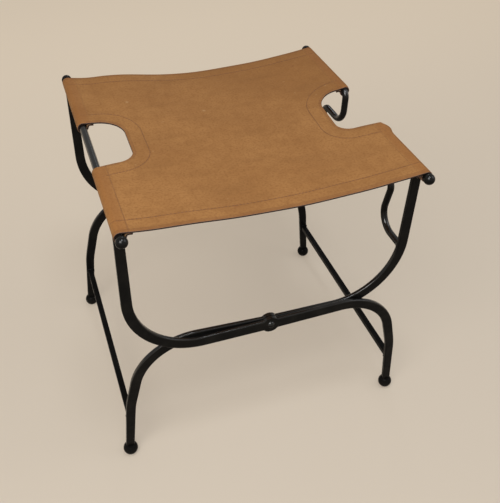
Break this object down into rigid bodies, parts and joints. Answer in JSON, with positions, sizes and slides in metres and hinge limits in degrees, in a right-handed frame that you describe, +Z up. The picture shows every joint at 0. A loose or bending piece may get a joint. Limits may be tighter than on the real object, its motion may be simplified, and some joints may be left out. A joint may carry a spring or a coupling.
{
  "type": "folding stool",
  "caption": "Forged iron folding camp stool: crossing curved bars on pivots, ball feet, and a tan leather sling seat with hand cut-outs looped over its rails.",
  "frame": {"origin": "on the floor, under the middle of the open stool", "axes": "+X from the left rail to the right rails, +Y from the front pivot to the rear pivot, +Z up"},
  "size_m": [0.4574, 0.4266, 0.4478],
  "materials": {
    "black_iron": "gloss black enamel over hand-forged iron",
    "tan_leather": "semi-matte veg-tanned cowhide with faint stitching and darkened edges"
  },
  "bodies": {
    "outer_frame": {"outer_front_bar": "black_iron", "outer_rear_bar": "black_iron", "left_rail": "black_iron", "left_front_knob": "black_iron", "left_rear_knob": "black_iron", "right_stretcher": "black_iron", "right_front_foot": "black_iron", "right_rear_foot": "black_iron", "front_pivot_rivet": "black_iron", "rear_pivot_rivet": "black_iron", "front_pivot_washer": "black_iron", "rear_pivot_washer": "black_iron"},
    "inner_frame": {"inner_front_bar": "black_iron", "inner_rear_bar": "black_iron", "right_front_rail": "black_iron", "right_rear_rail": "black_iron", "right_front_knob": "black_iron", "right_rear_knob": "black_iron", "left_stretcher": "black_iron", "left_front_foot": "black_iron", "left_rear_foot": "black_iron"},
    "seat_left": {"seat_left_half": "tan_leather"},
    "seat_right": {"seat_right_half": "tan_leather"}
  },
  "joints": [
    {"name": "fold", "type": "hinge", "parent": "outer_frame", "child": "inner_frame", "pos_m": [0, 0, 0.219], "axis": [0, -1, 0], "range_deg": [0, 70], "deforming": ["seat_left_half", "seat_right_half"]},
    {"name": "seat_left_swing", "type": "hinge", "parent": "outer_frame", "child": "seat_left", "pos_m": [-0.1985, 0, 0.44], "axis": [0, 1, 0], "range_deg": [0, 42.03], "deforming": ["seat_left_half", "seat_right_half"]},
    {"name": "seat_right_swing", "type": "hinge", "parent": "inner_frame", "child": "seat_right", "pos_m": [0.1985, 0, 0.44], "axis": [0, -1, 0], "range_deg": [0, 42.03], "deforming": ["seat_left_half", "seat_right_half"]}
  ],
  "couplings": [
    {"joint": "seat_left_swing", "follows": "fold", "ratio": 0.6004},
    {"joint": "seat_right_swing", "follows": "fold", "ratio": 0.6004}
  ]
}
